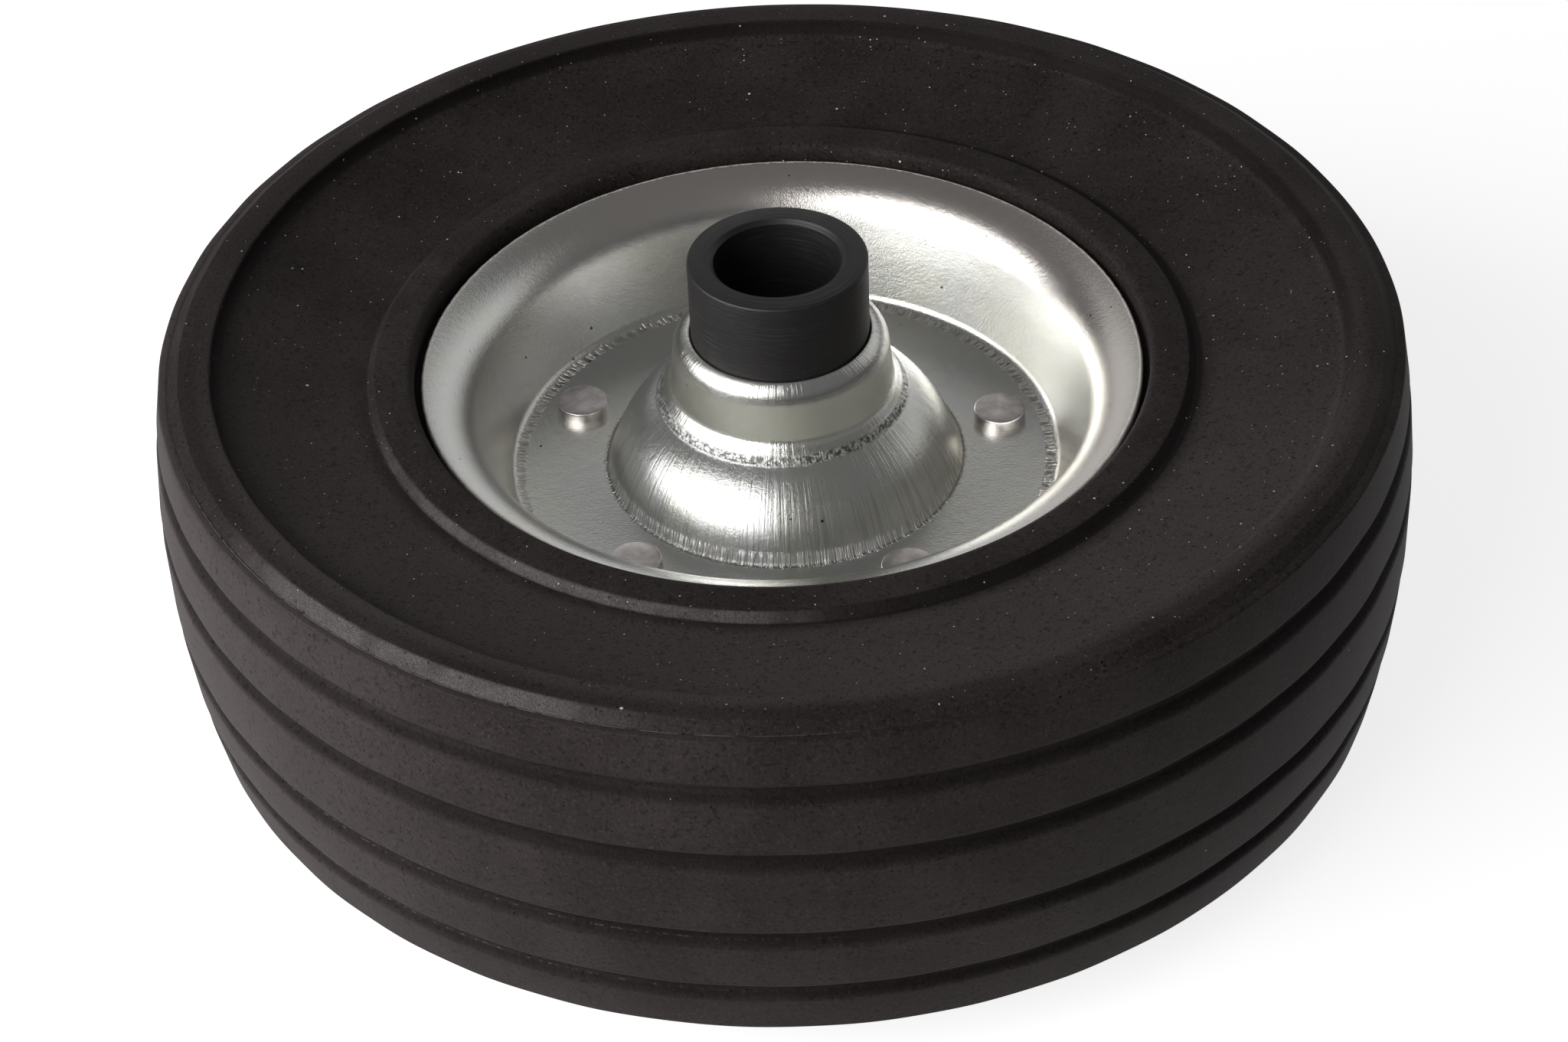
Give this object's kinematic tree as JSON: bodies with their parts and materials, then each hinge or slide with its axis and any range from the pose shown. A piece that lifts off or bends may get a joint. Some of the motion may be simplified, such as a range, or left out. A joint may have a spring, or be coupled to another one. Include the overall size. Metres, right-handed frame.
{
  "type": "jockey wheel",
  "caption": "Solid rubber trailer jockey wheel with a grooved tread on a riveted two-piece pressed steel rim, turning on a long plastic bush for a plain axle.",
  "frame": {"origin": "on the wheel's axis, in the plane where the two rim halves meet, halfway along the bush", "axes": "+Z along the wheel's axis, out of the side that the picture shows; X and Y across the wheel"},
  "size_m": [0.1997, 0.1998, 0.081],
  "materials": {
    "tyre_rubber": "matte moulded solid rubber, dusty",
    "zinc_steel": "bright zinc plating on pressed sheet, satin",
    "rivet_steel": "zinc plated, fine turned face",
    "bush_plastic": "matte black, turned"
  },
  "bodies": {
    "bush": {"hub_bush": "bush_plastic"},
    "wheel": {"tyre": "tyre_rubber", "front_rim_half": "zinc_steel", "rear_rim_half": "zinc_steel", "rivet_1": "rivet_steel", "rivet_2": "rivet_steel", "rivet_3": "rivet_steel", "rivet_4": "rivet_steel", "rivet_5": "rivet_steel"}
  },
  "joints": [
    {"name": "wheel_spin", "type": "hinge", "parent": "bush", "child": "wheel", "pos_m": [0, 0, 0], "axis": [0, 0, 1], "continuous": true}
  ]
}
